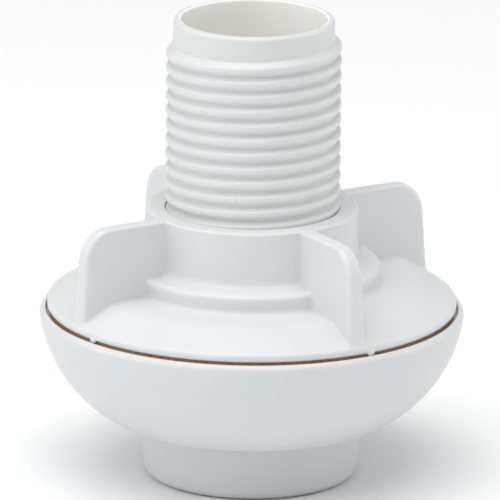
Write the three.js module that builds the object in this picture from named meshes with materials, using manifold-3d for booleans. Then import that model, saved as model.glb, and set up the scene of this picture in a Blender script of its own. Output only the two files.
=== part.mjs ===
// A thru-hull fitting: a hollow bowl flange with a pipe socket below it, a threaded barrel bonded into its hub,
// a flat seal ring on its rim, and a wing nut that runs down the barrel and clamps the hull.
// Millimetres, +Z up. The origin is the centre of the socket's end face, the lowest face of the fitting.
import * as THREE from "three";
import { mergeVertices } from "three/addons/utils/BufferGeometryUtils.js";
import Module from "manifold-3d";

// Barrel and its thread
const BORE_RADIUS = 19.8; // clear waterway
const BARREL_WALL = 2.06; // at the plain ends
const BARREL_LENGTH = 104.1;
const BARREL_CHAMFER = 0.5;
const MOUTH_EDGE = 1; // rounding of the outer edge of the barrel's top end
const THREAD_PITCH = 4;
const THREAD_ROOT = 0.69; // how far the thread's root stands out of the plain barrel
const THREAD_DEPTH = 1.25; // from the root to the crest
const THREAD_CREST = 1.35; // width of the flat on the crest
const THREAD_FLANK = THREE.MathUtils.degToRad(37); // each side of the ridge, from the radial direction
const THREAD_LEAD = 6.9; // from the barrel's top end down to the middle of the first crest
const THREAD_START = THREE.MathUtils.degToRad(75); // where the first crest begins, from +X towards +Y
const THREAD_FADE = THREE.MathUtils.degToRad(48); // the ridge grows to its full depth over this angle
const THREAD_SINK = 0.1; // how far the ridge's sides carry on below the root
const THREAD_BELOW_NUT = 3; // the thread carries on this far below the clamped nut

// Bowl flange with its socket
const SOCKET_RADIUS = 24.3; // takes a pipe of 48.3 outside diameter
const SOCKET_DEPTH = 19;
const SOCKET_WALL = 5.1;
const SOCKET_EDGE = 2.6; // rounding of the outer end edge
const SOCKET_CHAMFER = 0.8;
const STUB_LENGTH = 16.8; // socket end to the bowl's underside
const PIPE_STOP = 4.5; // thickness of the stop between the socket and the barrel's foot
const BOWL_RADIUS = 57.8;
const BOWL_DEPTH = 29.7; // underside to the top of the lip
const BOWL_ARC = 37.2; // radius of the bulging outer wall
const BOWL_UNDERSIDE = 8.8; // width of the flat ring round the stub
const BOWL_FLOOR = 3.4;
const RIM_LAND = 5.8; // width of the ledge under the seal ring
const LIP_WIDTH = 1.7;
const LIP_HEIGHT = 1.5;
const HUB_WALL = 5.6;
const HUB_DROP = 4; // the hub stops this far below the rim's ledge
const RIB_COUNT = 4;
const RIB_THICKNESS = 2.6;
const RIB_DROP = 6; // the ribs stop this far below the rim's ledge

// Seal ring
const RING_THICKNESS = 1.95;
const RING_WIDTH = 5.2;

// Wing nut, heights from the face of its rim
const RIM_BAND = 1.3; // height of the rim's upright edge
const RIM_EDGE = 1; // bevel above that edge
const RIM_FACE = 5.4; // width of the face that bears on the ring
const SKIRT_RISE = 7.15;
const SKIRT_WALL = 2.3;
const SHOULDER_SHARE = 0.52; // where the skirt starts to fall, from the step to the rim
const SHOULDER_SOFT = 4; // how far the turn into the slope is rounded along the skirt
const STEP_WIDTH = 6.2;
const STEP_RISE = 5.1;
const STEP_EDGE = 1.3;
const COLLAR_WALL = 4.65;
const COLLAR_RISE = 20.8; // skirt top to collar top
const COLLAR_EDGE = 0.6;
const COLLAR_FILLET = 2.4;
const BOSS_DROP = 3.9; // the threaded boss reaches this far below the skirt's top
const WING_COUNT = 4;
const WING_THICKNESS = 4.6;
const WING_INSET = 0.3; // the wing's foot ends this far inside the rim
const WING_DRAFT = 1.2; // the wing's end leans in by this much up to its corner
const WING_CORNER = 9.5;
const WING_TURN = THREE.MathUtils.degToRad(31.3);
const NIB_TURNS = [40, 125.2, 220, 305.2].map(THREE.MathUtils.degToRad);
const NIB_WIDTH = 2;
const NIB_DEPTH = 0.6;
const NIB_DROP = 0.8; // the nibs reach this far below the rim's face

// Clearances
const THREAD_PLAY = 0.35; // radially
const FLANK_PLAY = 0.25; // along the axis, on each flank
const BOND_GAP = 0.1; // barrel to hub
const SEAT_GAP = 0.05; // above and below the seal ring
const NIB_PLAY = 0.3; // nib to lip

// Facets
const FACETS = 48;
const THREAD_FACETS = 24; // per turn

// Radii and heights that follow from the sizes above
const barrelRadius = BORE_RADIUS + BARREL_WALL;
const rootRadius = barrelRadius + THREAD_ROOT;
const crestRadius = rootRadius + THREAD_DEPTH;
const stubRadius = SOCKET_RADIUS + SOCKET_WALL;
const underside = STUB_LENGTH;
const lipTop = underside + BOWL_DEPTH;
const land = lipTop - LIP_HEIGHT;
const recessRadius = BOWL_RADIUS - LIP_WIDTH;
const landInner = recessRadius - RIM_LAND;
const barrelFoot = SOCKET_DEPTH + PIPE_STOP;
const barrelTop = barrelFoot + BARREL_LENGTH;
const hubInner = barrelRadius + BOND_GAP;
const hubOuter = hubInner + HUB_WALL;
const hubTop = land - HUB_DROP;
const ringBottom = land + SEAT_GAP;
const nutFace = ringBottom + RING_THICKNESS + SEAT_GAP;
const rimRadius = recessRadius - NIB_PLAY - NIB_DEPTH;
const ringRadius = rimRadius - SEAT_GAP;
const skirtTop = nutFace + SKIRT_RISE;
const bossBottom = skirtTop - BOSS_DROP;
const collarRadius = crestRadius + THREAD_PLAY + COLLAR_WALL;
const collarTop = skirtTop + COLLAR_RISE;
const stepRadius = collarRadius + STEP_WIDTH;
const stepTop = skirtTop + STEP_RISE;
const shoulderRadius = stepRadius + SHOULDER_SHARE * (rimRadius - stepRadius);
const bandTop = nutFace + RIM_BAND;
const threadTop = barrelTop - THREAD_LEAD;
const threadBottom = bossBottom - THREAD_BELOW_NUT;

const wasm = await Module();
wasm.setup();

// A closed geometry as a solid that can be joined and cut.
function solid(geometry) {
  const bare = new THREE.BufferGeometry();
  bare.setAttribute("position", geometry.getAttribute("position"));
  bare.setIndex(geometry.getIndex());
  const merged = mergeVertices(bare, 1e-4);
  return new wasm.Manifold(
    new wasm.Mesh({
      numProp: 3,
      vertProperties: merged.getAttribute("position").array,
      triVerts: new Uint32Array(merged.getIndex().array),
    }),
  );
}

function geometryOf(made) {
  const { numProp, vertProperties, triVerts } = made.getMesh();
  const geometry = new THREE.BufferGeometry();
  const interleaved = new THREE.InterleavedBuffer(vertProperties, numProp);
  geometry.setAttribute("position", new THREE.InterleavedBufferAttribute(interleaved, 3, 0));
  geometry.setIndex(new THREE.BufferAttribute(triVerts, 1));
  const shaded = geometry.toNonIndexed();
  shaded.computeVertexNormals();
  return shaded;
}

// The points of an arc about (r, z), angles in degrees from the radial direction, both ends included.
function arc(r, z, radius, from, to, steps) {
  return Array.from({ length: steps + 1 }, (_, i) => {
    const angle = THREE.MathUtils.degToRad(from + ((to - from) * i) / steps);
    return [r + radius * Math.cos(angle), z + radius * Math.sin(angle)];
  });
}

// The arc of a given radius from one point to another, bulging outwards and down.
function arcBetween([r0, z0], [r1, z1], radius, steps) {
  const half = Math.hypot(r1 - r0, z1 - z0) / 2;
  const rise = Math.sqrt(radius ** 2 - half ** 2);
  const r = (r0 + r1) / 2 - (rise * (z1 - z0)) / (2 * half);
  const z = (z0 + z1) / 2 + (rise * (r1 - r0)) / (2 * half);
  const angle = (pr, pz) => THREE.MathUtils.radToDeg(Math.atan2(pz - z, pr - r));
  return arc(r, z, radius, angle(r0, z0), angle(r1, z1), steps);
}

// Revolves an outline of [r, z] points, listed anticlockwise, about the Z axis.
function revolve(outline, facets = FACETS) {
  const points = [...outline, outline[0]].map(([r, z]) => new THREE.Vector2(r, z));
  return new THREE.LatheGeometry(points, facets).rotateX(Math.PI / 2);
}

// An upright plate from an outline of [r, z] points, standing across the radius at an angle round the axis.
function radialPlate(outline, thickness, angle) {
  const shape = new THREE.Shape(outline.map(([r, z]) => new THREE.Vector2(r, z)));
  const plate = new THREE.ExtrudeGeometry(shape, { depth: thickness, bevelEnabled: false });
  return plate
    .translate(0, 0, -thickness / 2)
    .rotateX(Math.PI / 2)
    .rotateZ(angle);
}

// A right-hand thread ridge, wound down from its top. The section is extruded straight, then wound round the axis.
function threadRidge({ depth, crest, top, bottom, fade }) {
  const base = THREAD_ROOT + BARREL_WALL / 4; // how far the section reaches below the root, into the wall
  const half = crest / 2 + (depth + THREAD_SINK) * Math.tan(THREAD_FLANK);
  const section = new THREE.Shape([
    new THREE.Vector2(-base, -half),
    new THREE.Vector2(-THREAD_SINK, -half),
    new THREE.Vector2(depth, -crest / 2),
    new THREE.Vector2(depth, crest / 2),
    new THREE.Vector2(-THREAD_SINK, half),
    new THREE.Vector2(-base, half),
  ]);
  const steps = Math.ceil(((top - bottom) / THREAD_PITCH) * THREAD_FACETS);
  const ridge = new THREE.ExtrudeGeometry(section, { depth: steps, steps, bevelEnabled: false });
  const turn = (2 * Math.PI) / THREAD_FACETS;
  const startAngle = THREAD_START + ((top - threadTop) / THREAD_PITCH) * 2 * Math.PI;
  const position = ridge.getAttribute("position");
  for (let i = 0; i < position.count; i++) {
    const step = position.getZ(i);
    const grown = Math.min(1, (step * turn) / fade, ((steps - step) * turn) / fade);
    const height = (position.getX(i) + base) * grown - base;
    const angle = startAngle - step * turn;
    const radius = rootRadius + height;
    const z = top - (step / THREAD_FACETS) * THREAD_PITCH + position.getY(i);
    position.setXYZ(i, radius * Math.cos(angle), radius * Math.sin(angle), z);
  }
  return ridge;
}

function threadedBarrel() {
  const tube = revolve(
    [
      [BORE_RADIUS, barrelFoot],
      [barrelRadius - BARREL_CHAMFER, barrelFoot],
      [barrelRadius, barrelFoot + BARREL_CHAMFER],
      [barrelRadius, threadBottom],
      [rootRadius, threadBottom + THREAD_ROOT],
      [rootRadius, threadTop - THREAD_ROOT],
      [barrelRadius, threadTop],
      ...arc(barrelRadius - MOUTH_EDGE, barrelTop - MOUTH_EDGE, MOUTH_EDGE, 0, 90, 3),
      [BORE_RADIUS + BARREL_CHAMFER, barrelTop],
      [BORE_RADIUS, barrelTop - BARREL_CHAMFER],
    ],
    THREAD_FACETS,
  );
  const ridge = threadRidge({
    depth: THREAD_DEPTH,
    crest: THREAD_CREST,
    top: threadTop,
    bottom: threadBottom,
    fade: THREAD_FADE,
  });
  return geometryOf(solid(tube).add(solid(ridge)));
}

// The cutter of the nut's thread: the barrel's ridge and root, enlarged by the play and running out of both ends.
function tap() {
  const outOfEnds = 1.5 * THREAD_PITCH;
  const core = revolve(
    [
      [BORE_RADIUS / 2, bossBottom - outOfEnds],
      [rootRadius + THREAD_PLAY, bossBottom - outOfEnds],
      [rootRadius + THREAD_PLAY, collarTop + outOfEnds],
      [BORE_RADIUS / 2, collarTop + outOfEnds],
    ],
    THREAD_FACETS,
  );
  const facetAngle = (2 * Math.PI) / THREAD_FACETS;
  const facetRise = THREAD_PITCH / THREAD_FACETS;
  const stepsUp = Math.ceil((collarTop + outOfEnds - threadTop) / facetRise);
  const ridge = threadRidge({
    depth: THREAD_DEPTH + THREAD_PLAY,
    crest: THREAD_CREST + 2 * FLANK_PLAY - 2 * THREAD_PLAY * Math.tan(THREAD_FLANK),
    top: threadTop + stepsUp * facetRise,
    bottom: bossBottom - outOfEnds,
    fade: facetAngle,
  });
  return solid(core).add(solid(ridge));
}

function hullBowl() {
  const widest = [BOWL_RADIUS, lipTop - LIP_WIDTH];
  const foot = [stubRadius + BOWL_UNDERSIDE, underside];
  const outerWall = arcBetween(foot, widest, BOWL_ARC, 8);
  const floor = underside + BOWL_FLOOR;
  const floorRadius = foot[0] - BOWL_FLOOR / 2;
  const wallTurn = (floor + land) / 2;
  const shell = revolve([
    [SOCKET_RADIUS + SOCKET_CHAMFER, 0],
    ...arc(stubRadius - SOCKET_EDGE, SOCKET_EDGE, SOCKET_EDGE, -90, 0, 3),
    [stubRadius, underside],
    ...outerWall,
    ...arc(BOWL_RADIUS - LIP_WIDTH, lipTop - LIP_WIDTH, LIP_WIDTH, 30, 90, 2),
    [recessRadius, land],
    [landInner, land],
    ...arcBetween([floorRadius, floor], [landInner, wallTurn], BOWL_ARC, 4).reverse(),
    [hubOuter, floor],
    [hubOuter, hubTop],
    [hubInner, hubTop],
    [hubInner, barrelFoot - BOND_GAP],
    [BORE_RADIUS, barrelFoot - BOND_GAP],
    [BORE_RADIUS, SOCKET_DEPTH],
    [SOCKET_RADIUS, SOCKET_DEPTH],
    [SOCKET_RADIUS, SOCKET_CHAMFER],
  ]);
  const ribTop = land - RIB_DROP;
  const into = RIB_THICKNESS / 2; // how far a rib's outline runs into the walls it joins
  const ribOutline = [
    [hubOuter - into, floor - into],
    [floorRadius, floor - into],
    [landInner + into, wallTurn],
    [landInner + into, ribTop],
    [hubOuter - into, ribTop],
  ];
  let bowl = solid(shell);
  for (let i = 0; i < RIB_COUNT; i++) {
    const angle = ((i + 0.5) * 2 * Math.PI) / RIB_COUNT;
    bowl = bowl.add(solid(radialPlate(ribOutline, RIB_THICKNESS, angle)));
  }
  return geometryOf(bowl);
}

function sealRing() {
  return revolve([
    [ringRadius - RING_WIDTH, ringBottom],
    [ringRadius, ringBottom],
    [ringRadius, ringBottom + RING_THICKNESS],
    [ringRadius - RING_WIDTH, ringBottom + RING_THICKNESS],
  ]);
}

function wingNut() {
  const slopeFoot = [rimRadius - RIM_EDGE, bandTop + RIM_EDGE];
  const slope = (slopeFoot[1] - skirtTop) / (slopeFoot[0] - shoulderRadius);
  const skirtHeight = (r) => skirtTop + Math.min(0, (r - shoulderRadius) * slope);
  const softStart = [shoulderRadius - SHOULDER_SOFT / 2, skirtTop];
  const softEnd = [shoulderRadius + SHOULDER_SOFT / 2, skirtHeight(shoulderRadius + SHOULDER_SOFT / 2)];
  const softMiddle = [shoulderRadius, skirtTop + (softEnd[1] - skirtTop) / 4];
  const faceInner = rimRadius - RIM_FACE;
  const inside = BORE_RADIUS; // the tap takes away everything nearer to the axis than the thread
  const stepEdge = arc(stepRadius - STEP_EDGE, stepTop - STEP_EDGE, STEP_EDGE, 0, 90, 2);
  const fillet = arc(collarRadius + COLLAR_FILLET, stepTop + COLLAR_FILLET, COLLAR_FILLET, 270, 180, 3);
  const turned = revolve([
    [inside, bossBottom],
    [collarRadius, bossBottom],
    [collarRadius + STEP_EDGE, skirtTop - SKIRT_WALL],
    [shoulderRadius - SHOULDER_SOFT / 2, skirtTop - SKIRT_WALL],
    [faceInner, skirtHeight(faceInner) - SKIRT_WALL],
    [faceInner, nutFace],
    [rimRadius, nutFace],
    [rimRadius, bandTop],
    slopeFoot,
    softEnd,
    softMiddle,
    softStart,
    [stepRadius + STEP_EDGE, skirtTop],
    [stepRadius, skirtTop + STEP_EDGE],
    ...stepEdge,
    ...fillet,
    [collarRadius, collarTop - COLLAR_EDGE],
    [collarRadius - COLLAR_EDGE, collarTop],
    [inside, collarTop],
  ]);
  const rooted = SKIRT_WALL / 2; // how far a wing's outline runs into the skirt
  const footEnd = rimRadius - WING_INSET;
  const topEnd = footEnd - WING_DRAFT;
  const wingOutline = [
    [collarRadius - rooted, skirtTop - rooted],
    [shoulderRadius, skirtTop - rooted],
    [slopeFoot[0] - rooted, slopeFoot[1] - rooted],
    [footEnd, bandTop],
    ...arc(topEnd - WING_CORNER, collarTop - WING_CORNER, WING_CORNER, 0, 90, 6),
    [collarRadius - rooted, collarTop],
  ];
  const nibOutline = [
    [rimRadius - RIM_EDGE, bandTop],
    [rimRadius - RIM_EDGE, nutFace],
    [rimRadius + SEAT_GAP, nutFace],
    [rimRadius + SEAT_GAP, nutFace - NIB_DROP],
    [rimRadius + NIB_DEPTH, nutFace - NIB_DROP],
    [rimRadius + NIB_DEPTH, bandTop - NIB_DEPTH],
    [rimRadius, bandTop],
  ];
  let nut = solid(turned);
  for (let i = 0; i < WING_COUNT; i++) {
    const angle = WING_TURN + (i * 2 * Math.PI) / WING_COUNT;
    nut = nut.add(solid(radialPlate(wingOutline, WING_THICKNESS, angle)));
  }
  for (const angle of NIB_TURNS) {
    nut = nut.add(solid(radialPlate(nibOutline, NIB_WIDTH, angle)));
  }
  return geometryOf(nut.subtract(tap()));
}

const coolWhite = new THREE.MeshStandardMaterial({ color: 0xe8edf0, roughness: 0.42, metalness: 0 });
const warmWhite = new THREE.MeshStandardMaterial({ color: 0xe9eae5, roughness: 0.38, metalness: 0 });
const brownFibre = new THREE.MeshStandardMaterial({ color: 0x8a5f3c, roughness: 0.85, metalness: 0 });

function part(name, geometry, material) {
  const mesh = new THREE.Mesh(geometry, material);
  mesh.name = name;
  return mesh;
}

const fitting = new THREE.Group();
fitting.add(part("hull_bowl", hullBowl(), coolWhite));
fitting.add(part("threaded_barrel", threadedBarrel(), warmWhite));
fitting.add(part("seal_ring", sealRing(), brownFibre));
fitting.add(part("wing_nut", wingNut(), coolWhite));

export default fitting;
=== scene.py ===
"""A thru-hull fitting: hollow bowl flange, threaded barrel, seal ring and wing nut, built around its frame.

Sizes are in metres in the settings and in millimetres in the shape functions. +Z is up, and the socket's
end face is at z = 0.
"""

import math

import bmesh
import bpy
import numpy as np
from bpy.props import FloatProperty, FloatVectorProperty, IntProperty, PointerProperty
from mathutils import Matrix, Vector


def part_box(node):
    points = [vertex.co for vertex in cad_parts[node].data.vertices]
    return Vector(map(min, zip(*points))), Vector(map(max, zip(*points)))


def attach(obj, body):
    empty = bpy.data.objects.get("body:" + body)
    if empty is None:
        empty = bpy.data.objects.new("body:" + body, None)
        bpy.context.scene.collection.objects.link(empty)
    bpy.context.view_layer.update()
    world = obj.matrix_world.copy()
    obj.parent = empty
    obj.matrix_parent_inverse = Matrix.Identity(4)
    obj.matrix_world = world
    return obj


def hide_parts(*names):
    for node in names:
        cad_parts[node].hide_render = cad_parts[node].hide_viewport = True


bl_info = {
    "name": "Thru-hull fitting",
    "version": (1, 0, 0),
    "blender": (4, 5, 0),
    "location": "3D View > Sidebar > Fitting",
    "description": "Builds a thru-hull fitting with its wing nut, seal ring and threaded barrel",
    "category": "Object",
}

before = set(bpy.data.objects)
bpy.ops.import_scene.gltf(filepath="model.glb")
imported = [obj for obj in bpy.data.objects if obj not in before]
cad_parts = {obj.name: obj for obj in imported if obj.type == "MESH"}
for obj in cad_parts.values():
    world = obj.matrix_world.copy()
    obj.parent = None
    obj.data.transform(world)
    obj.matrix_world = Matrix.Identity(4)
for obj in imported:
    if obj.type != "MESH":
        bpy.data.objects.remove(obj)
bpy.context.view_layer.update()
MM = 0.001  # metres in a millimetre
WELD = 1.5e-5  # points nearer than this, in metres, become one
FULL_TURN = 2 * math.pi

WORLD_STRENGTH = 0.5
WHITE = (1.0, 1.0, 1.0)
LIGHTS = (  # name, offset from the object's middle, size, power
    ("overhead softbox", (-0.15, -0.4, 1.5), 1.6, 19.0),
    ("left softbox", (-1.3, -0.3, 0.6), 0.8, 3.8),
    ("right softbox", (1.3, 0.35, 0.35), 0.9, 2.8),
)

BOWL_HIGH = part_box("hull_bowl")[1]
BARREL_LOW, BARREL_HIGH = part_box("threaded_barrel")
RING_LOW, RING_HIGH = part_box("seal_ring")
NUT_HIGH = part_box("wing_nut")[1]


# ----------------------------------------------------------------------------------------------------
# Settings
# ----------------------------------------------------------------------------------------------------


def length(name, description, default):
    """A length setting, shown in the scene's own unit."""
    limits = {"min": 0, "precision": 5}
    return FloatProperty(name=name, description=description, default=default, unit="LENGTH", **limits)


def angle(name, description, degrees):
    """An angle setting, given in degrees."""
    return FloatProperty(name=name, description=description, default=math.radians(degrees), subtype="ANGLE")


def colour(name, description, default):
    """A colour setting, as linear red, green and blue."""
    return FloatVectorProperty(
        name=name, description=description, default=default, size=3, min=0, max=1, subtype="COLOR"
    )


class FittingThread(bpy.types.PropertyGroup):
    """The thread that the barrel and the nut share"""

    pitch: length("Pitch", "Height gained in one turn", 0.004)
    depth: length("Depth", "From the root to the crest", 0.00125)
    crest: length("Crest width", "Width of the crest before its edges are softened", 0.00135)
    flank: angle("Flank angle", "Slope of each flank from the radial direction", 37)
    softness: length("Softness", "Height over which crests and roots are rounded", 0.0007)
    root_radius: length("Root radius", "Radius of the barrel between the crests", 0.02255)
    top: length("Top", "Height of the middle of the first crest where it starts", BARREL_HIGH.z - 0.0069)
    bottom: length("Bottom", "Height of the middle of the last crest where it ends", 0.0473)
    start: angle("Start", "Where the first crest starts, from +X towards +Y", 75)
    fade: angle("Fade", "The ridge grows to its full depth over this angle", 48)
    play: length("Play", "Room between the barrel's thread and the nut's, as set", 0.00015)


class FittingBarrel(bpy.types.PropertyGroup):
    """The threaded barrel"""

    foot: length("Foot", "Height of the barrel's lower end", BARREL_LOW.z)
    top: length("Top", "Height of the barrel's upper end", BARREL_HIGH.z)
    bore: length("Bore radius", "Radius of the waterway", 0.0198)
    plain_radius: length("Plain radius", "Outer radius of the plain ends", 0.02186)
    edge: length("Edge", "Rounding of the foot's edge and of the mouth's inner edge", 0.0005)
    mouth_edge: length("Mouth edge", "Rounding of the mouth's outer edge", 0.001)
    steps: IntProperty(name="Steps round", description="Faces round the barrel", default=144, min=24, max=360)
    rings: IntProperty(name="Rings", description="Faces along the outside", default=420, min=60, max=900)


class FittingBowl(bpy.types.PropertyGroup):
    """The bowl flange with its pipe socket"""

    radius: length("Radius", "Outer radius of the bowl at its widest", BOWL_HIGH.x)
    top: length("Top", "Height of the lip's top", BOWL_HIGH.z)
    stub_radius: length("Stub radius", "Outer radius of the pipe socket", 0.0294)
    stub_length: length("Stub length", "From the socket's end to the bowl's underside", 0.0168)
    socket_radius: length("Socket radius", "Inner radius of the pipe socket", 0.0243)
    socket_depth: length("Socket depth", "How far a pipe goes in", 0.019)
    wall_arc: length("Wall arc", "Radius of the bulging outer wall's outline", 0.0372)
    hub_radius: length("Hub radius", "Outer radius of the hub that holds the barrel", 0.02756)
    rib_thickness: length("Rib thickness", "Thickness of the ribs inside the bowl", 0.0026)
    steps: IntProperty(name="Steps round", description="Faces round the bowl", default=236, min=48, max=400)


class FittingRing(bpy.types.PropertyGroup):
    """The flat seal ring between the bowl's rim and the nut"""

    radius: length("Radius", "Outer radius of the ring", RING_HIGH.x)
    width: length("Width", "Radial width of the ring", 0.0052)
    ragged: length("Ragged edge", "How far the cut edge wanders", 0.00012)
    steps: IntProperty(name="Steps round", description="Faces round the ring", default=720, min=48, max=1440)


class FittingNut(bpy.types.PropertyGroup):
    """The wing nut"""

    top: length("Top", "Height of the collar's top", NUT_HIGH.z)
    face: length("Face", "Height of the face that bears on the seal ring", RING_HIGH.z + 0.00005)
    rim_radius: length("Rim radius", "Outer radius of the rim", 0.0557)
    skirt_top: length("Skirt top", "Height of the skirt's flat top", 0.0542)
    step_radius: length("Step radius", "Radius of the step round the collar", 0.035)
    step_top: length("Step top", "Height of that step's top", 0.0593)
    collar_radius: length("Collar radius", "Outer radius of the collar", 0.0288)
    wing_thickness: length("Wing thickness", "Thickness of a wing at its top", 0.0042)
    wing_foot: length("Wing foot", "Thickness of a wing at its foot", 0.0052)
    wing_corner: length("Wing corner", "Rounding of a wing's outer top corner", 0.0095)
    wing_edge: length("Wing edge", "Rounding of a wing's edges", 0.0012)
    wing_fillet: length("Wing fillet", "Fillet where a wing joins the collar and the skirt", 0.0007)
    wing_turn: angle("Wing turn", "Direction of the first wing, from +X towards +Y", 31.3)
    wings: IntProperty(name="Wings", description="Number of wings", default=4, min=2, max=8)


class FittingFinish(bpy.types.PropertyGroup):
    """Colours of the fitting"""

    cool_white: colour("Cool white", "Moulded plastic of the nut", (0.71, 0.733, 0.744))
    # painted shade: the nut's plastic made a shade darker, for the dimmer light on the bowl's outward and
    # downward faces
    bowl_white: colour("Bowl white", "Moulded plastic of the bowl, darkened as painted shade", (0.688, 0.709, 0.725))
    warm_white: colour("Warm white", "Moulded plastic of the barrel", (0.695, 0.725, 0.724))
    # painted light: the waterway is coloured far lighter and warmer than the barrel, standing in for light
    # through the wall and bounced round the bore
    bore: colour("Bore", "Plastic inside the waterway, painted lighter and warmer as light", (0.97, 0.965, 0.93))
    seal: colour("Seal", "Fibre of the seal ring", (0.43, 0.225, 0.105))
    floor: colour("Floor", "Floor of the stage", (0.975, 0.975, 0.975))
    plastic_roughness: FloatProperty(
        name="Plastic roughness", description="Mean roughness of the plastic", default=0.38, min=0.05, max=1
    )


class FittingSettings(bpy.types.PropertyGroup):
    """All the settings of the fitting"""

    thread: PointerProperty(type=FittingThread)
    barrel: PointerProperty(type=FittingBarrel)
    bowl: PointerProperty(type=FittingBowl)
    ring: PointerProperty(type=FittingRing)
    nut: PointerProperty(type=FittingNut)
    finish: PointerProperty(type=FittingFinish)


def in_mm(group):
    """A settings group as plain numbers, its lengths in millimetres and its angles in radians."""
    values = {}
    for name, made in group.bl_rna.properties.items():
        if name in {"rna_type", "name"}:
            continue
        value = getattr(group, name)
        values[name] = value / MM if getattr(made, "unit", "NONE") == "LENGTH" else value
    return type("Sizes", (), values)


# ----------------------------------------------------------------------------------------------------
# Outlines and distance fields, in millimetres
# ----------------------------------------------------------------------------------------------------


def arc(centre, radius, start, end, steps):
    """Points of an arc in the (r, z) plane, angles in degrees from the radial direction."""
    angles = np.radians(np.linspace(start, end, steps + 1))
    return [(centre[0] + radius * math.cos(a), centre[1] + radius * math.sin(a), 0) for a in angles]


def arc_between(first, last, radius, steps):
    """Points of the arc of a given radius from one point to another, bulging outwards and down."""
    (r0, z0), (r1, z1) = first, last
    half = math.hypot(r1 - r0, z1 - z0) / 2
    rise = math.sqrt(radius**2 - half**2)
    centre = ((r0 + r1) / 2 - rise * (z1 - z0) / (2 * half), (z0 + z1) / 2 + rise * (r1 - r0) / (2 * half))
    ends = [math.degrees(math.atan2(z - centre[1], r - centre[0])) for r, z in (first, last)]
    return arc(centre, radius, ends[0], ends[1], steps)


def rounded(corners, steps=6):
    """An outline whose corners (r, z, radius) are rounded with arcs that touch both sides."""
    outline = []
    count = len(corners)
    for i, (r, z, radius) in enumerate(corners):
        here = np.array((r, z), float)
        if radius == 0:
            outline.append(here)
            continue
        before = np.array(corners[i - 1][:2], float) - here
        after = np.array(corners[(i + 1) % count][:2], float) - here
        before /= np.linalg.norm(before)
        after /= np.linalg.norm(after)
        half = math.acos(np.clip(before @ after, -1, 1)) / 2
        reach = radius / math.tan(half)
        centre = here + (before + after) / np.linalg.norm(before + after) * radius / math.sin(half)
        start, end = here + before * reach - centre, here + after * reach - centre
        for share in np.linspace(0, 1, steps + 1):
            spoke = start * (1 - share) + end * share
            outline.append(centre + spoke / np.linalg.norm(spoke) * radius)
    return np.array(outline)


def outline_distance(r, z, outline):
    """Signed distance in the (r, z) plane to a closed outline, negative inside it."""
    shape = np.broadcast_shapes(np.shape(r), np.shape(z))
    nearest = np.full(shape, np.inf)
    inside = np.zeros(shape, bool)
    for (r0, z0), (r1, z1) in zip(outline, np.roll(outline, -1, 0)):
        side_r, side_z = r1 - r0, z1 - z0
        squared = side_r**2 + side_z**2
        if squared < 1e-12:
            continue
        along = np.clip(((r - r0) * side_r + (z - z0) * side_z) / squared, 0, 1)
        np.minimum(nearest, (r - r0 - along * side_r) ** 2 + (z - z0 - along * side_z) ** 2, out=nearest)
        if z0 != z1:
            inside ^= ((z0 > z) != (z1 > z)) & (r < r0 + side_r * (z - z0) / side_z)
    return np.where(inside, -1, 1) * np.sqrt(nearest)


def joined(a, b, fillet):
    """The union of two distance fields, with a fillet in the corner between them."""
    corner = np.hypot(np.maximum(fillet - a, 0), np.maximum(fillet - b, 0))
    return np.maximum(fillet, np.minimum(a, b)) - corner


def trimmed(a, b, edge):
    """The intersection of two distance fields, with its outer edge rounded."""
    corner = np.hypot(np.maximum(edge + a, 0), np.maximum(edge + b, 0))
    return np.minimum(-edge, np.maximum(a, b)) + corner


def plates(turn, radius, count, start):
    """Distances along and across the nearest of several radial plates, as (u, w)."""
    sector = FULL_TURN / count
    off = (turn - start + sector / 2) % sector - sector / 2
    return radius * np.cos(off), radius * np.sin(off)


def softer(a, b, softness):
    """The smaller of two values, with the turn from one to the other rounded."""
    near = np.maximum(softness - np.abs(a - b), 0) / softness
    return np.minimum(a, b) - near**3 * softness / 6


def ridge(turn, z, thread, crest):
    """How far a threaded surface stands out of the thread's root, at an angle and a height."""
    phase = (z - thread.top) / thread.pitch - (turn - thread.start) / FULL_TURN
    off = np.abs(phase - np.round(phase)) * thread.pitch
    side = thread.depth + (crest / 2 - off) / math.tan(thread.flank)
    return -softer(-softer(side, thread.depth, thread.softness), 0, thread.softness)


def grid_lines(*spans):
    """Grid lines from spans of (start, end, step), which follow each other."""
    lines = [np.linspace(a, b, max(1, round((b - a) / step)), endpoint=False) for a, b, step in spans]
    return np.concatenate([*lines, [spans[-1][1]]])


def turns_round(count, start, plates_count, near, fine_share):
    """Angles of a full turn, closer together near each radial plate."""
    sector = FULL_TURN / plates_count
    per_sector = count // plates_count
    fine = int(per_sector * fine_share)
    inner = np.linspace(-near, near, fine, endpoint=False)
    outer = np.linspace(near, sector - near, per_sector - fine, endpoint=False)
    one = np.concatenate([inner, outer]) + start
    return np.concatenate([one + k * sector for k in range(plates_count)])


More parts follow.
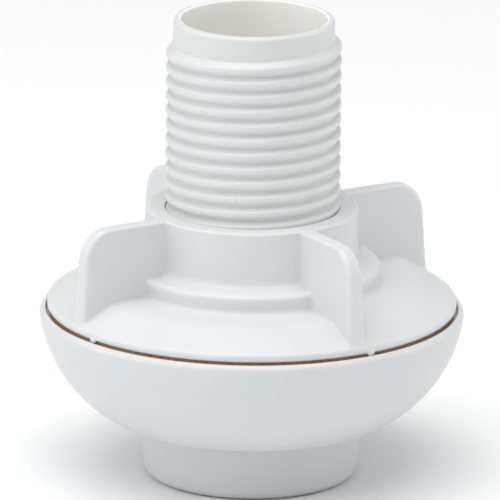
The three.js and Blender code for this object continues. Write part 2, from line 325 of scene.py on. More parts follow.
def skin(field, turns, radii, heights):
    """The surface where a distance field is zero, as points and four-sided faces, on a grid round the Z axis.

    Each grid cell that the surface crosses gets one point, which is then moved onto the surface.
    """
    values = field(turns[:, None, None], radii[None, :, None], heights[None, None, :])
    shape = tuple(np.array(values.shape) - (0, 1, 1))
    total = np.zeros((*shape, 3))
    crossings = np.zeros(shape)
    wide = np.append(turns, turns[0] + FULL_TURN)
    axes = (wide, radii, heights)
    edges = []
    for axis in range(3):
        other = np.roll(values, -1, 0) if axis == 0 else np.delete(values, 0, axis)
        here = values if axis == 0 else np.delete(values, -1, axis)
        crossed = (here < 0) != (other < 0)
        place = np.argwhere(crossed)
        a, b = here[crossed], other[crossed]
        share = a / (a - b)
        point = np.stack([axes[k][place[:, k]] for k in range(3)], 1)
        step = axes[axis][place[:, axis] + 1] - axes[axis][place[:, axis]]
        point[:, axis] += share * step
        edges.append((place, a < 0))
        across = [k for k in range(3) if k != axis]
        for i in (0, 1):
            for j in (0, 1):
                cell = place.copy()
                cell[:, across[0]] -= i
                cell[:, across[1]] -= j
                value = point.copy()
                wraps = cell[:, 0] < 0
                cell[wraps, 0] += shape[0]
                value[wraps, 0] += FULL_TURN
                good = ((cell[:, 1:] >= 0) & (cell[:, 1:] < shape[1:])).all(1)
                spot = tuple(cell[good].T)
                np.add.at(total, spot, value[good])
                np.add.at(crossings, spot, 1)
    used = crossings > 0
    number = np.full(shape, -1)
    number[used] = np.arange(used.sum())
    turn, radius, height = (total[used] / crossings[used][:, None]).T
    points = np.stack([radius * np.cos(turn), radius * np.sin(turn), height], 1)

    faces = []
    for axis, (place, starts_inside) in enumerate(edges):
        first, second = [(1, 2), (2, 0), (0, 1)][axis]
        around = []
        for i, j in ((0, 0), (1, 0), (1, 1), (0, 1)):
            cell = place.copy()
            cell[:, first] -= i
            cell[:, second] -= j
            cell[:, 0] %= shape[0]
            around.append(number[tuple(cell.T)])
        quad = np.stack(around, 1)
        quad[~starts_inside] = quad[~starts_inside][:, ::-1]
        faces.append(quad)
    faces = np.concatenate(faces)

    def at(p):
        return field(np.arctan2(p[:, 1], p[:, 0]), np.hypot(p[:, 0], p[:, 1]), p[:, 2])

    reach, longest_move = 0.02, 0.4
    for _ in range(4):
        value = at(points)
        sides = [(at(points + reach * e) - at(points - reach * e)) / (2 * reach) for e in np.eye(3)]
        slope = np.stack(sides, 1)
        move = slope * (value / np.maximum((slope**2).sum(1), 0.05))[:, None]
        size = np.linalg.norm(move, axis=1, keepdims=True)
        points -= move * np.minimum(1, longest_move / np.maximum(size, 1e-9))
    return points, faces


# ----------------------------------------------------------------------------------------------------
# Meshes
# ----------------------------------------------------------------------------------------------------


def facing_out(mesh):
    """Turns a closed mesh's faces so that they point outwards."""
    mesh.calc_loop_triangles()
    corner = np.zeros(len(mesh.loop_triangles) * 3, np.int32)
    mesh.loop_triangles.foreach_get("vertices", corner)
    place = np.zeros(len(mesh.vertices) * 3)
    mesh.vertices.foreach_get("co", place)
    a, b, c = place.reshape(-1, 3)[corner.reshape(-1, 3)].transpose(1, 0, 2)
    if (np.cross(a, b) * c).sum() < 0:
        mesh.flip_normals()


def mesh_piece(name, points, faces, material):
    """A smooth-shaded object from points in millimetres and faces, with points that coincide welded."""
    mesh = bpy.data.meshes.new(name)
    mesh.from_pydata((np.asarray(points) * MM).tolist(), [], np.asarray(faces).tolist())
    mesh.materials.append(material)
    welded = bmesh.new()
    welded.from_mesh(mesh)
    bmesh.ops.remove_doubles(welded, verts=welded.verts, dist=WELD)
    welded.to_mesh(mesh)
    welded.free()
    mesh.validate()
    facing_out(mesh)
    mesh.shade_smooth()
    piece = bpy.data.objects.new(name, mesh)
    bpy.context.scene.collection.objects.link(piece)
    return piece


def mark_edges(mesh, reach, passes):
    """Writes how sharply the surface bends out (edge) and in (crease) at each point, from 0 to 1; the plastic
    paints a highlight along the first and shade in the second.
    """
    count = len(mesh.vertices)
    place, normal = np.zeros(count * 3), np.zeros(count * 3)
    mesh.vertices.foreach_get("co", place)
    mesh.vertices.foreach_get("normal", normal)
    place, normal = place.reshape(-1, 3), normal.reshape(-1, 3)
    pairs = np.zeros(len(mesh.edges) * 2, np.int64)
    mesh.edges.foreach_get("vertices", pairs)
    a, b = pairs.reshape(-1, 2).T
    side = place[b] - place[a]
    squared = np.maximum((side**2).sum(1), 1e-14)
    bend_a, bend_b = -(side * normal[a]).sum(1) / squared, (side * normal[b]).sum(1) / squared
    ends = np.concatenate([a, b])
    neighbours = np.maximum(np.bincount(ends, minlength=count), 1)
    bend = np.bincount(ends, weights=np.concatenate([bend_a, bend_b]), minlength=count) / neighbours
    for _ in range(passes):
        spread = np.bincount(ends, weights=np.concatenate([bend[b], bend[a]]), minlength=count) / neighbours
        bend = (bend + spread) / 2
    for name, sign in (("edge", 1), ("crease", -1)):
        value = np.clip(sign * bend * reach, 0, 1).astype(np.float32)
        mesh.attributes.new(name, "FLOAT", "POINT").data.foreach_set("value", value)


def settle(piece, body, node):
    """Puts a finished piece on its body in place of its CAD node."""
    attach(piece, body)
    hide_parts(node)


# ----------------------------------------------------------------------------------------------------
# Materials
# ----------------------------------------------------------------------------------------------------


class Nodes:
    """A node tree under construction; each call adds a node and returns it."""

    def add(self, kind, inputs=None, **options):
        made = self.tree.nodes.new(kind)
        for option, value in options.items():
            setattr(made, option, value)
        for socket, value in (inputs or {}).items():
            self.put(made.inputs[socket], value)
        return made

    def put(self, socket, value):
        """Sets a socket to a value, or links it to another node's output."""
        if isinstance(value, bpy.types.NodeSocket):
            self.tree.links.new(value, socket)
        else:
            socket.default_value = value


class Shade(Nodes):
    """A material's node tree."""

    def __init__(self, name):
        self.material = bpy.data.materials.new(name)
        self.material.use_nodes = True
        self.tree = self.material.node_tree
        self.shader = self.tree.nodes["Principled BSDF"]

    def noise(self, where, per_metre, detail=3.0, roughness=0.5):
        inputs = {"Vector": where, "Scale": per_metre, "Detail": detail, "Roughness": roughness}
        return self.add("ShaderNodeTexNoise", inputs).outputs["Fac"]

    def spread(self, value, low, high, to_low=0.0, to_high=1.0):
        """A value's range from low to high, mapped and clamped to another."""
        inputs = {"Value": value, "From Min": low, "From Max": high, "To Min": to_low, "To Max": to_high}
        return self.add("ShaderNodeMapRange", inputs).outputs["Result"]

    def math(self, operation, a, b=0.0):
        made = self.add("ShaderNodeMath", operation=operation)
        self.put(made.inputs[0], a)
        self.put(made.inputs[1], b)
        return made.outputs[0]

    def blend(self, share, a, b, blend_type="MIX"):
        """Two colours mixed by a share."""
        made = self.add("ShaderNodeMix", data_type="RGBA", blend_type=blend_type)
        self.put(made.inputs["Factor"], share)
        self.put(made.inputs["A"], a)
        self.put(made.inputs["B"], b)
        return made.outputs["Result"]

    def relief(self, height, depth, strength=1.0, below=None):
        """A bump normal from a height field, its depth in metres."""
        made = self.add("ShaderNodeBump", {"Strength": strength, "Distance": depth, "Height": height})
        if below is not None:
            self.put(made.inputs["Normal"], below)
        return made.outputs["Normal"]

    def attribute(self, name):
        return self.add("ShaderNodeAttribute", attribute_name=name).outputs["Fac"]


def opaque(rgb):
    return (*rgb, 1.0)


def tinted(rgb, red, green, blue):
    return (rgb[0] * red, rgb[1] * green, rgb[2] * blue, 1.0)


def moulded_plastic(name, base, roughness, cloud_tint, bore=None):
    """Satin moulded plastic: faint clouding, an uneven gloss, a fine skin, glossier handled edges with a
    painted highlight, and painted shade in the creases.

    Nearer to the axis than the bore, which is (radius, colour), the plastic takes that far lighter, warmer
    colour: painted light, for light through the thin wall and bounced round the waterway.
    """
    shade = Shade(name)
    where = shade.add("ShaderNodeTexCoord").outputs["Object"]
    clouds = shade.spread(shade.noise(where, 26, 2.0), 0.38, 0.64)
    specks = shade.spread(shade.noise(where, 2100, 1.0), 0.66, 0.8)
    edge, crease = shade.attribute("edge"), shade.attribute("crease")

    cloudiness = shade.math("MULTIPLY", clouds, 0.8)
    tone = shade.blend(cloudiness, opaque(base), tinted(base, *cloud_tint))
    # painted shade: the colour darkens where the surface bends inwards, in creases and corners where shade
    # falls
    tone = shade.blend(shade.math("MULTIPLY", crease, 0.3), tone, tinted(base, 0.84, 0.83, 0.80))
    # painted highlight: the colour lightens along outward edges, as if they catch the light; the lower
    # roughness below is real handling gloss
    tone = shade.blend(shade.math("MULTIPLY", edge, 0.35), tone, tinted(base, 1.08, 1.08, 1.08))
    tone = shade.blend(shade.math("MULTIPLY", specks, 0.12), tone, tinted(base, 0.72, 0.70, 0.66))
    # painted light inside the waterway: a lighter, warmer colour within the bore radius
    if bore is not None:
        bore_radius, bore_lit_colour = bore
        flat = shade.add("ShaderNodeMapping", {"Vector": where, "Scale": (1.0, 1.0, 0.0)}).outputs["Vector"]
        away = shade.add("ShaderNodeVectorMath", {0: flat}, operation="LENGTH").outputs["Value"]
        inside = shade.spread(away, bore_radius + 0.0003, bore_radius + 0.0009, 1.0, 0.0)
        bore_lit_tone = shade.blend(cloudiness, opaque(bore_lit_colour), tinted(bore_lit_colour, *cloud_tint))
        tone = shade.blend(inside, tone, bore_lit_tone)
    shade.put(shade.shader.inputs["Base Color"], tone)

    smears = shade.add("ShaderNodeMapping", {"Vector": where, "Scale": (1.0, 1.0, 0.35)}).outputs["Vector"]
    handling = shade.spread(shade.noise(smears, 90, 4.0, 0.6), 0.35, 0.7, roughness - 0.06, roughness + 0.09)
    gloss = shade.math("SUBTRACT", handling, shade.math("MULTIPLY", edge, 0.07))
    shade.put(shade.shader.inputs["Roughness"], gloss)

    skin_grain = shade.noise(where, 2600, 2.0, 0.6)
    waves = shade.noise(where, 120, 2.0)
    normal = shade.relief(waves, 0.00012, 0.35)
    normal = shade.relief(skin_grain, 0.00002, 0.5, below=normal)
    shade.put(shade.shader.inputs["Normal"], normal)
    shade.shader.inputs["IOR"].default_value = 1.5
    shade.shader.inputs["Subsurface Weight"].default_value = 0.12
    shade.shader.inputs["Subsurface Radius"].default_value = (1.0, 0.92, 0.85)
    shade.shader.inputs["Subsurface Scale"].default_value = 0.0012
    return shade.material


def seal_fibre(name, base):
    """Pressed brown fibre: light and dark flecks, a dry matt surface and fine pits."""
    shade = Shade(name)
    where = shade.add("ShaderNodeTexCoord").outputs["Object"]
    flecks = shade.spread(shade.noise(where, 1500, 3.0, 0.7), 0.36, 0.66)
    patches = shade.spread(shade.noise(where, 150, 3.0), 0.35, 0.68)
    cells = shade.add("ShaderNodeTexVoronoi", {"Vector": where, "Scale": 1100.0}, feature="F1")
    pits = shade.spread(cells.outputs["Distance"], 0.05, 0.5)
    tone = shade.blend(flecks, tinted(base, 0.62, 0.55, 0.5), tinted(base, 1.5, 1.5, 1.45))
    tone = shade.blend(shade.math("MULTIPLY", patches, 0.4), tone, tinted(base, 0.75, 0.72, 0.7))
    shade.put(shade.shader.inputs["Base Color"], tone)
    shade.put(shade.shader.inputs["Roughness"], shade.spread(flecks, 0.0, 1.0, 0.78, 0.95))
    normal = shade.relief(pits, 0.00006, 0.7)
    normal = shade.relief(flecks, 0.00003, 0.6, below=normal)
    shade.put(shade.shader.inputs["Normal"], normal)
    return shade.material


def floor_paint(name, base):
    """Matt pale floor with the faintest unevenness."""
    shade = Shade(name)
    where = shade.add("ShaderNodeTexCoord").outputs["Object"]
    drift = shade.noise(where, 1.5, 2.0)
    tone = shade.blend(drift, opaque(base), tinted(base, 0.985, 0.985, 0.985))
    shade.put(shade.shader.inputs["Base Color"], tone)
    shade.shader.inputs["Roughness"].default_value = 0.9
    shade.shader.inputs["Specular IOR Level"].default_value = 0.1
    return shade.material


# ----------------------------------------------------------------------------------------------------
# The barrel's node tree
# ----------------------------------------------------------------------------------------------------


class Fields(Nodes):
    """A geometry node tree, with short words for its field arithmetic."""

    def __init__(self, name):
        self.tree = bpy.data.node_groups.new(name, "GeometryNodeTree")
        self.tree.interface.new_socket("Geometry", in_out="OUTPUT", socket_type="NodeSocketGeometry")
        self.ins = self.tree.nodes.new("NodeGroupInput")
        self.outs = self.tree.nodes.new("NodeGroupOutput")
        self.identifiers = {}

    def size(self, name, kind="NodeSocketFloat"):
        """A named input of the tree."""
        made = self.tree.interface.new_socket(name, in_out="INPUT", socket_type=kind)
        self.identifiers[name] = made.identifier
        return self.ins.outputs[name]

    def math(self, operation, *values):
        made = self.add("ShaderNodeMath", operation=operation)
        for i, value in enumerate(values):
            self.put(made.inputs[i], value)
        return made.outputs[0]

    def total(self, *values):
        result = values[0]
        for value in values[1:]:
            result = self.math("ADD", result, value)
        return result

    def times(self, *values):
        result = values[0]
        for value in values[1:]:
            result = self.math("MULTIPLY", result, value)
        return result

    def less(self, a, b):
        return self.math("SUBTRACT", a, b)

    def over(self, a, b):
        return self.math("DIVIDE", a, b)

    def ramp(self, value, start, end):
        """0 up to start, then evenly to 1 at end."""
        made = self.add("ShaderNodeMapRange", {"Value": value, "From Min": start, "From Max": end})
        return made.outputs["Result"]


def barrel_tree():
    """Geometry nodes for a tube with a helical thread, as one closed surface wound round the Z axis.

    The outline is walked once: from the foot up the outside, over the lip, down the bore, along the foot.
    """
    f = Fields("threaded barrel")
    names = "Bore Radius,Plain Radius,Root Radius,Foot,Top,Edge,Mouth Edge,"
    names += "Pitch,Depth,Crest,Flank,Softness,Thread Top,Thread Bottom,Start,Fade"
    bore, plain, root, foot, top, edge, mouth, *thread = map(f.size, names.split(","))
    pitch, depth, crest, flank, soft, thread_top, thread_bottom, start, fade = thread
    steps = f.size("Steps", "NodeSocketInt")
    rings = f.size("Rings", "NodeSocketInt")
    material = f.size("Material", "NodeSocketMaterial")

    arc_rings, bore_rings = 5, 40
    parts = [rings, arc_rings, 2, arc_rings, bore_rings, 2, arc_rings]
    marks = [0]
    for part in parts:
        marks.append(f.total(marks[-1], part))
    grid = f.add(
        "GeometryNodeMeshGrid",
        {
            "Size X": 1.0,
            "Size Y": 1.0,
            "Vertices X": f.total(steps, 1),
            "Vertices Y": f.total(marks[-1], 1),
        },
    )
    across = f.add("ShaderNodeSeparateXYZ", {"Vector": grid.outputs["UV Map"]})
    turn = f.times(across.outputs["X"], FULL_TURN)
    walk = f.times(across.outputs["Y"], marks[-1])
    share = [f.ramp(walk, marks[i], marks[i + 1]) for i in range(len(parts))]
    outside, lip_out, lip, lip_in, inside, sole, foot_out = share
    bends = {"a": lip_out, "b": lip_in, "c": foot_out}
    quarter = {key: f.times(value, math.pi / 2) for key, value in bends.items()}
    sine = {key: f.math("SINE", value) for key, value in quarter.items()}
    bulge = {key: f.less(1.0, f.math("COSINE", value)) for key, value in quarter.items()}

    height = f.less(top, foot)
    wall = f.less(plain, bore)
    body = f.times(outside, f.less(height, f.total(edge, mouth)))
    z = f.total(foot, edge, body, f.times(mouth, sine["a"]))
    z = f.less(z, f.times(edge, bulge["b"]))
    z = f.less(z, f.times(inside, f.less(height, edge)))
    z = f.total(z, f.times(edge, bulge["c"]))
    r = f.less(plain, f.times(mouth, bulge["a"]))
    r = f.less(r, f.times(lip, f.less(wall, f.total(edge, mouth))))
    r = f.less(r, f.times(edge, sine["b"]))
    r = f.total(r, f.times(sole, f.less(wall, edge)), f.times(edge, sine["c"]))

    turned = f.over(f.less(turn, start), FULL_TURN)
    phase = f.less(f.over(f.less(z, thread_top), pitch), turned)
    crest_number = f.math("ROUND", phase)
    off = f.times(f.math("ABSOLUTE", f.less(phase, crest_number)), pitch)
    rise = f.less(root, plain)
    full = f.total(rise, depth)
    side = f.total(full, f.over(f.less(f.times(crest, 0.5), off), f.math("TANGENT", flank)))
    side = f.math("SMOOTH_MIN", side, full, soft)
    crest_height = f.total(thread_top, f.times(pitch, f.total(crest_number, turned)))
    from_top = f.times(f.over(f.less(thread_top, crest_height), pitch), FULL_TURN)
    from_bottom = f.times(f.over(f.less(crest_height, thread_bottom), pitch), FULL_TURN)
    grown = f.times(f.ramp(from_top, 0.0, fade), f.ramp(from_bottom, 0.0, fade))
    band_start = f.ramp(z, thread_bottom, f.total(thread_bottom, rise))
    band_end = f.ramp(z, thread_top, f.less(thread_top, rise))
    band = f.times(rise, band_start, band_end)
    stands = f.math("SMOOTH_MAX", f.times(side, grown), band, soft)
    stands = f.math("SMOOTH_MAX", stands, 0.0, f.times(soft, 0.4))
    on_outside = f.math("LESS_THAN", walk, f.total(marks[1], 0.5))
    below_top = f.ramp(z, f.total(thread_top, pitch), thread_top)
    above_bottom = f.ramp(z, f.less(thread_bottom, pitch), thread_bottom)
    r = f.total(r, f.times(stands, on_outside, below_top, above_bottom))

    place = f.add(
        "ShaderNodeCombineXYZ",
        {"X": f.times(r, f.math("COSINE", turn)), "Y": f.times(r, f.math("SINE", turn)), "Z": z},
    )
    inputs = {"Geometry": grid.outputs["Mesh"], "Position": place.outputs["Vector"]}
    wound = f.add("GeometryNodeSetPosition", inputs)
    closed = f.add("GeometryNodeMergeByDistance", {"Geometry": wound.outputs["Geometry"], "Distance": 2e-6})
    smooth = f.add("GeometryNodeSetShadeSmooth", {"Geometry": closed.outputs["Geometry"]})
    real = f.add("GeometryNodeRealizeInstances", {"Geometry": smooth.outputs["Geometry"]})
    finish = f.add("GeometryNodeSetMaterial", {"Geometry": real.outputs["Geometry"], "Material": material})
    f.tree.links.new(finish.outputs["Geometry"], f.outs.inputs["Geometry"])
    return f


# ----------------------------------------------------------------------------------------------------
# Operators
# ----------------------------------------------------------------------------------------------------


def finishes(context):
    """The fitting's materials, made once."""
    finish = context.scene.fitting.finish
    made = bpy.data.materials
    if "cool white plastic" not in made:
        roughness, cool_cloud = finish.plastic_roughness, (0.975, 0.98, 0.985)
        moulded_plastic("cool white plastic", finish.cool_white, roughness, cool_cloud)
        # the bowl gets the nut's plastic painted a shade darker, as painted shade
        moulded_plastic("bowl white plastic", finish.bowl_white, roughness, cool_cloud)
        # the waterway's painted light: its colour and the radius inside which it is used
        bore = (context.scene.fitting.barrel.bore, finish.bore)
        warm_cloud = (0.985, 0.975, 0.955)
        moulded_plastic("warm white plastic", finish.warm_white, roughness - 0.04, warm_cloud, bore)
        seal_fibre("brown seal fibre", finish.seal)
    return made


class FITTING_OT_threaded_barrel(bpy.types.Operator):
    """Build the barrel with its helical thread"""

    bl_idname = "fitting.threaded_barrel"
    bl_label = "Threaded barrel"
    bl_options = {"REGISTER", "UNDO"}

    def execute(self, context):
        barrel, thread = context.scene.fitting.barrel, context.scene.fitting.thread
        fields = barrel_tree()
        piece = bpy.data.objects.new("threaded_barrel_piece", bpy.data.meshes.new("threaded_barrel_piece"))
        context.scene.collection.objects.link(piece)
        modifier = piece.modifiers.new("Thread", "NODES")
        modifier.node_group = fields.tree
        sizes = {
            "Bore Radius": barrel.bore,
            "Plain Radius": barrel.plain_radius,
            "Root Radius": thread.root_radius,
            "Foot": barrel.foot,
            "Top": barrel.top,
            "Edge": barrel.edge,
            "Mouth Edge": barrel.mouth_edge,
            "Pitch": thread.pitch,
            "Depth": thread.depth,
            "Crest": thread.crest,
            "Flank": thread.flank,
            "Softness": thread.softness,
            "Thread Top": thread.top,
            "Thread Bottom": thread.bottom,
            "Start": thread.start,
            "Fade": thread.fade,
            "Steps": barrel.steps,
            "Rings": barrel.rings,
            "Material": finishes(context)["warm white plastic"],
        }
        for name, value in sizes.items():
            modifier[fields.identifiers[name]] = value
        made = piece.evaluated_get(context.evaluated_depsgraph_get())
        mesh = bpy.data.meshes.new_from_object(made)
        piece.modifiers.clear()
        piece.data = mesh
        if not len(mesh.polygons):
            raise RuntimeError("the barrel's node tree made no faces")
        facing_out(mesh)
        mark_edges(mesh, 0.0011, 2)
        settle(piece, "bowl_and_barrel", "threaded_barrel")
        return {"FINISHED"}


class FITTING_OT_hull_bowl(bpy.types.Operator):
    """Build the hollow bowl flange with its socket, hub and ribs"""

    bl_idname = "fitting.hull_bowl"
    bl_label = "Bowl flange"
    bl_options = {"REGISTER", "UNDO"}

    def execute(self, context):
        bowl = in_mm(context.scene.fitting.bowl)
        barrel = in_mm(context.scene.fitting.barrel)
        lip_width, lip_height, land_width, floor_thickness = 1.7, 1.5, 5.8, 3.4
        land = bowl.top - lip_height
        recess = bowl.radius - lip_width
        land_inner = recess - land_width
        foot = (bowl.stub_radius + 8.8, bowl.stub_length)
        widest = (bowl.radius, bowl.top - lip_width)
        floor = bowl.stub_length + floor_thickness
        floor_radius = foot[0] - floor_thickness / 2
        wall_turn = (floor + land) / 2
        hub_top = land - 4
        glue_gap = 0.1
        into_shell = 1.5
        hub_inner = barrel.plain_radius + glue_gap
        inner_wall = arc_between((floor_radius, floor), (land_inner, wall_turn), bowl.wall_arc, 40)[::-1]
        outline = rounded(
            [
                (bowl.socket_radius, 0, 0.8),
                (bowl.stub_radius, 0, 2.6),
                (bowl.stub_radius, bowl.stub_length, 1.2),
                *arc_between(foot, widest, bowl.wall_arc, 70),
                *arc((bowl.radius - lip_width, bowl.top - lip_width), lip_width, 10, 84, 8),
                (recess, bowl.top, 0.12),
                (recess, land, 0.3),
                (land_inner, land, 0.5),
                *inner_wall[:-1],
                (floor_radius, floor, 0),
                (bowl.hub_radius, floor, 1.5),
                (bowl.hub_radius, hub_top, 0.6),
                (hub_inner, hub_top, 0.4),
                (hub_inner, barrel.foot - glue_gap, 0.2),
                (barrel.bore, barrel.foot - glue_gap, 0.3),
                (barrel.bore, bowl.socket_depth, 0.4),
                (bowl.socket_radius, bowl.socket_depth, 0.6),
            ]
        )
        ribs, first_rib, rib_top = 4, math.pi / 4, land - 6
        rib = rounded(
            [
                (bowl.hub_radius - into_shell, floor - into_shell, 0),
                (floor_radius, floor - into_shell, 0),
                (land_inner + into_shell, wall_turn, 0),
                (land_inner + into_shell, rib_top, 0),
                (bowl.hub_radius - into_shell, rib_top, 0),
            ]
        )

        def field(turn, radius, height):
            shell = outline_distance(radius, height, outline)
            u, w = plates(turn, radius, ribs, first_rib)
            plate = trimmed(outline_distance(u, height, rib), np.abs(w) - bowl.rib_thickness / 2, 0.5)
            return joined(shell, plate, 1.2)

        turns = turns_round(bowl.steps, first_rib, ribs, math.radians(6.5), 0.36)
        radii = grid_lines(
            (18.93, 21.0, 0.6),
            (21.0, 30.1, 0.55),
            (30.1, 48.6, 1.05),
            (48.6, 51.5, 0.6),
            (51.5, 54.9, 1.0),
            (54.9, 58.51, 0.42),
        )
        heights = grid_lines(
            (-0.63, 3.3, 0.5),
            (3.3, 15.2, 1.3),
            (15.2, 24.6, 0.6),
            (24.6, 37.7, 1.2),
            (37.7, 42.3, 0.6),
            (42.3, 43.9, 0.8),
            (43.9, 47.27, 0.38),
        )
        plastic = finishes(context)["bowl white plastic"]
        piece = mesh_piece("hull_bowl_piece", *skin(field, turns, radii, heights), plastic)
        mark_edges(piece.data, 0.0016, 2)
        settle(piece, "bowl_and_barrel", "hull_bowl")
        return {"FINISHED"}


class FITTING_OT_seal_ring(bpy.types.Operator):
    """Build the flat seal ring with its cut edge"""

    bl_idname = "fitting.seal_ring"
    bl_label = "Seal ring"
    bl_options = {"REGISTER", "UNDO"}

    def execute(self, context):
        ring = in_mm(context.scene.fitting.ring)
        low, high = RING_LOW.z / MM, RING_HIGH.z / MM
        inner = ring.radius - ring.width
        outline = rounded(
            [(inner, low, 0.15), (ring.radius, low, 0.15), (ring.radius, high, 0.15), (inner, high, 0.15)], 3
        )
        fine = []
        for a, b in zip(outline, np.roll(outline, -1, 0)):
            cuts = max(1, round(float(np.linalg.norm(b - a)) / 0.45))
            fine += [a + (b - a) * k / cuts for k in range(cuts)]
        outline = np.array(fine)
        draw = np.random.default_rng(11)
        turns = np.linspace(0, FULL_TURN, ring.steps, endpoint=False)
        wander = np.zeros((ring.steps, len(outline)))
        for waves in (5, 9, 14, 23, 37, 61, 97, 141):
            phase = draw.uniform(0, FULL_TURN)
            tilt = draw.uniform(-1.5, 1.5)
            wander += np.sin(waves * turns[:, None] + phase + tilt * outline[None, :, 1]) / waves**0.45
        wander *= -ring.ragged / 2 / np.abs(wander).max()
        wander += wander.min()
        near_edge = 0.3
        outer_cut = outline[:, 0] > ring.radius - near_edge
        cut = outer_cut | (outline[:, 0] < inner + near_edge)
        inwards = np.where(outer_cut, 1.0, -1.0) * cut
        radius = outline[None, :, 0] + wander * inwards[None, :]
        x, y = radius * np.cos(turns)[:, None], radius * np.sin(turns)[:, None]
        points = np.stack([x, y, np.broadcast_to(outline[:, 1], radius.shape)], 2).reshape(-1, 3)
        number = np.arange(radius.size).reshape(radius.shape)
        on, up = np.roll(number, -1, 0), np.roll(number, -1, 1)
        faces = np.stack([number, on, np.roll(on, -1, 1), up], 2).reshape(-1, 4)
        piece = mesh_piece("seal_ring_piece", points, faces, finishes(context)["brown seal fibre"])
        settle(piece, "ring", "seal_ring")
        return {"FINISHED"}


class FITTING_OT_wing_nut(bpy.types.Operator):
    """Build the wing nut with its skirt, step, collar, wings and internal thread"""

    bl_idname = "fitting.wing_nut"
    bl_label = "Wing nut"
    bl_options = {"REGISTER", "UNDO"}

    def execute(self, context):
        nut = in_mm(context.scene.fitting.nut)
        thread = in_mm(context.scene.fitting.thread)
        band_top = nut.face + 1.3
        top_edge = 0.6
        skirt_wall, boss_bottom = 2.3, nut.skirt_top - 3.9
        slope_foot = (nut.rim_radius - 1.2, band_top + 1.2)
        shoulder = 45.6
        slope = (slope_foot[1] - nut.skirt_top) / (slope_foot[0] - shoulder)
        face_inner = nut.rim_radius - 5.9
        skirt_inside = nut.skirt_top + (face_inner - shoulder) * slope - skirt_wall
        bore = 17.0
        outline = rounded(
            [
                (bore, boss_bottom, 0),
                (nut.collar_radius, boss_bottom, 0.6),
                (nut.collar_radius + 1.3, nut.skirt_top - skirt_wall, 1.0),
                (shoulder - 1, nut.skirt_top - skirt_wall, 3.0),
                (face_inner, skirt_inside, 0.8),
                (face_inner, nut.face, 0.4),
                (nut.rim_radius, nut.face, 0.12),
                (nut.rim_radius, band_top + 0.5, 0.8),
                (*slope_foot, 0.9),
                (shoulder, nut.skirt_top, 7.0),
                (nut.step_radius, nut.skirt_top, 1.4),
                (nut.step_radius, nut.step_top, 1.4),
                (nut.collar_radius, nut.step_top, 2.4),
                (nut.collar_radius, nut.top + 4, 0),
                (bore, nut.top + 4, 0),
            ],
            8,
        )
        wing_end = nut.rim_radius - 0.8
        wing_top = nut.top + top_edge
        inset, sink = 1.2, 1.5
        corner = (wing_end - inset - nut.wing_corner, wing_top - nut.wing_corner)
        wing = rounded(
            [
                (nut.collar_radius - inset, nut.skirt_top - sink, 0),
                (shoulder, nut.skirt_top - sink, 0),
                (slope_foot[0] - inset, slope_foot[1] - sink, 0),
                (wing_end, band_top, 0),
                *arc(corner, nut.wing_corner, 0, 90, 24),
                (nut.collar_radius - inset, wing_top, 0),
            ]
        )
        nib_low, nib_outer = nut.face - 0.8, nut.rim_radius + 0.25
        nib = rounded(
            [
                (nut.rim_radius - 1, band_top, 0),
                (nut.rim_radius - 1, nib_low, 0),
                (nib_outer, nib_low, 0.1),
                (nib_outer, band_top - 0.5, 0.2),
            ]
        )
        nib_inner = RING_HIGH.x / MM + 0.12  # the grid rounds the corner at its top, into the ring's edge
        nib_turns = (math.radians(40), math.radians(125.2))
        sector_start = nut.wing_turn
        rise = nut.top - nut.skirt_top

        def field(turn, radius, height):
            body = outline_distance(radius, height, outline)
            u, w = plates(turn, radius, nut.wings, sector_start)
            down = np.clip((nut.top - height) / rise, 0, 1.3)
            half = (nut.wing_thickness + (nut.wing_foot - nut.wing_thickness) * down) / 2
            plate = trimmed(outline_distance(u, height, wing), np.abs(w) - half, nut.wing_edge)
            body = joined(body, plate, nut.wing_fillet)
            body = trimmed(body, height - nut.top, top_edge)
            body = np.maximum(body, radius - nut.rim_radius)
            for first in nib_turns:
                u, w = plates(turn, radius, 2, first)
                peg = trimmed(outline_distance(u, height, nib), np.abs(w) - 1, 0.3)
                under = np.maximum(peg, np.where(height < nut.face, nib_inner - radius, -1.0))
                body = np.minimum(body, under)
            wide_crest = thread.crest + 2 * thread.play
            hole = thread.root_radius + thread.play + ridge(turn, height, thread, wide_crest)
            return trimmed(body, (hole - radius) * 0.8, 0.2)

        turns = turns_round(340, sector_start, nut.wings, math.radians(10.5), 0.47)
        radii = grid_lines(
            (21.03, 26.0, 0.45),
            (26.0, 36.1, 0.52),
            (36.1, 48.6, 0.9),
            (48.6, 53.2, 0.6),
            (53.2, 56.33, 0.31),
        )
        heights = grid_lines(
            (45.77, 51.0, 0.42),
            (51.0, 61.4, 0.52),
            (61.4, 73.1, 0.62),
            (73.1, 75.47, 0.35),
        )
        plastic = finishes(context)["cool white plastic"]
        piece = mesh_piece("wing_nut_piece", *skin(field, turns, radii, heights), plastic)
        mark_edges(piece.data, 0.0014, 2)
        settle(piece, "nut", "wing_nut")
        return {"FINISHED"}


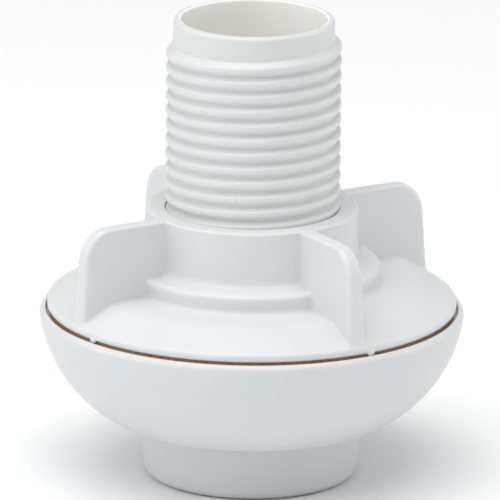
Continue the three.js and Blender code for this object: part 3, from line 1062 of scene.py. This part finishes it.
class FITTING_OT_stage(bpy.types.Operator):
    """Set up the floor, the soft lights and the camera"""

    bl_idname = "fitting.stage"
    bl_label = "Stage"
    bl_options = {"REGISTER", "UNDO"}

    def execute(self, context):
        scene = context.scene
        floor_mesh = bpy.data.meshes.new("floor")
        half, below = 30.0, -0.0002
        corners = [(x * half, y * half, below) for x, y in ((-1, -1), (1, -1), (1, 1), (-1, 1))]
        floor_mesh.from_pydata(corners, [], [(0, 1, 2, 3)])
        floor_mesh.materials.append(floor_paint("pale floor", scene.fitting.finish.floor))
        floor = bpy.data.objects.new("floor", floor_mesh)
        scene.collection.objects.link(floor)

        centre = Vector((0, 0, 0.06))  # about the middle of the object
        for name, direction, size, power in LIGHTS:
            light = bpy.data.lights.new(name, "AREA")
            light.shape = "SQUARE"
            light.size = size
            light.energy = power
            light.color = WHITE
            lamp = bpy.data.objects.new(name, light)
            lamp.location = centre + Vector(direction)
            lamp.rotation_euler = (-Vector(direction)).to_track_quat("-Z", "Y").to_euler()
            lamp.visible_camera = False
            scene.collection.objects.link(lamp)

        world = bpy.data.worlds.new("soft white room")
        world.use_nodes = True
        background = world.node_tree.nodes["Background"]
        background.inputs["Color"].default_value = opaque(WHITE)
        background.inputs["Strength"].default_value = WORLD_STRENGTH
        scene.world = world
        scene.view_settings.view_transform = "Standard"

        lens = bpy.data.cameras.new("camera")
        lens.sensor_width = 36.0
        lens.lens = 688.1
        lens.shift_x, lens.shift_y = -0.0044, 0.0166
        lens.clip_start, lens.clip_end = 0.05, 200.0
        camera = bpy.data.objects.new("camera", lens)
        elevation, distance, lean = math.radians(16.12), 2.6, math.radians(0.5)
        back = Vector((0, -math.cos(elevation), math.sin(elevation)))
        turn = (-back).to_track_quat("-Z", "Y").to_matrix() @ Matrix.Rotation(lean, 3, "Z")
        camera.matrix_world = Matrix.Translation(centre + back * distance) @ turn.to_4x4()
        scene.collection.objects.link(camera)
        scene.camera = camera
        return {"FINISHED"}


class FITTING_PT_panel(bpy.types.Panel):
    """The fitting's pieces and their settings"""

    bl_idname = "FITTING_PT_panel"
    bl_label = "Thru-hull fitting"
    bl_space_type = "VIEW_3D"
    bl_region_type = "UI"
    bl_category = "Fitting"

    def draw(self, context):
        settings = context.scene.fitting
        for title, group, operator in PANEL_ROWS:
            box = self.layout.box()
            box.label(text=title)
            if group:
                for name in getattr(settings, group).__annotations__:
                    box.prop(getattr(settings, group), name)
            if operator:
                box.operator(operator)


PANEL_ROWS = (
    ("Thread", "thread", None),
    ("Threaded barrel", "barrel", FITTING_OT_threaded_barrel.bl_idname),
    ("Bowl flange", "bowl", FITTING_OT_hull_bowl.bl_idname),
    ("Seal ring", "ring", FITTING_OT_seal_ring.bl_idname),
    ("Wing nut", "nut", FITTING_OT_wing_nut.bl_idname),
    ("Colours", "finish", None),
    ("Stage", None, FITTING_OT_stage.bl_idname),
)

CLASSES = (
    FittingThread,
    FittingBarrel,
    FittingBowl,
    FittingRing,
    FittingNut,
    FittingFinish,
    FittingSettings,
    FITTING_OT_threaded_barrel,
    FITTING_OT_hull_bowl,
    FITTING_OT_seal_ring,
    FITTING_OT_wing_nut,
    FITTING_OT_stage,
    FITTING_PT_panel,
)


def register():
    for made in CLASSES:
        bpy.utils.register_class(made)
    bpy.types.Scene.fitting = PointerProperty(type=FittingSettings)


def unregister():
    del bpy.types.Scene.fitting
    for made in reversed(CLASSES):
        bpy.utils.unregister_class(made)


def main():
    register()
    bpy.ops.fitting.threaded_barrel()
    bpy.ops.fitting.hull_bowl()
    bpy.ops.fitting.seal_ring()
    bpy.ops.fitting.wing_nut()
    bpy.ops.fitting.stage()


if __name__ == "__main__":
    main()
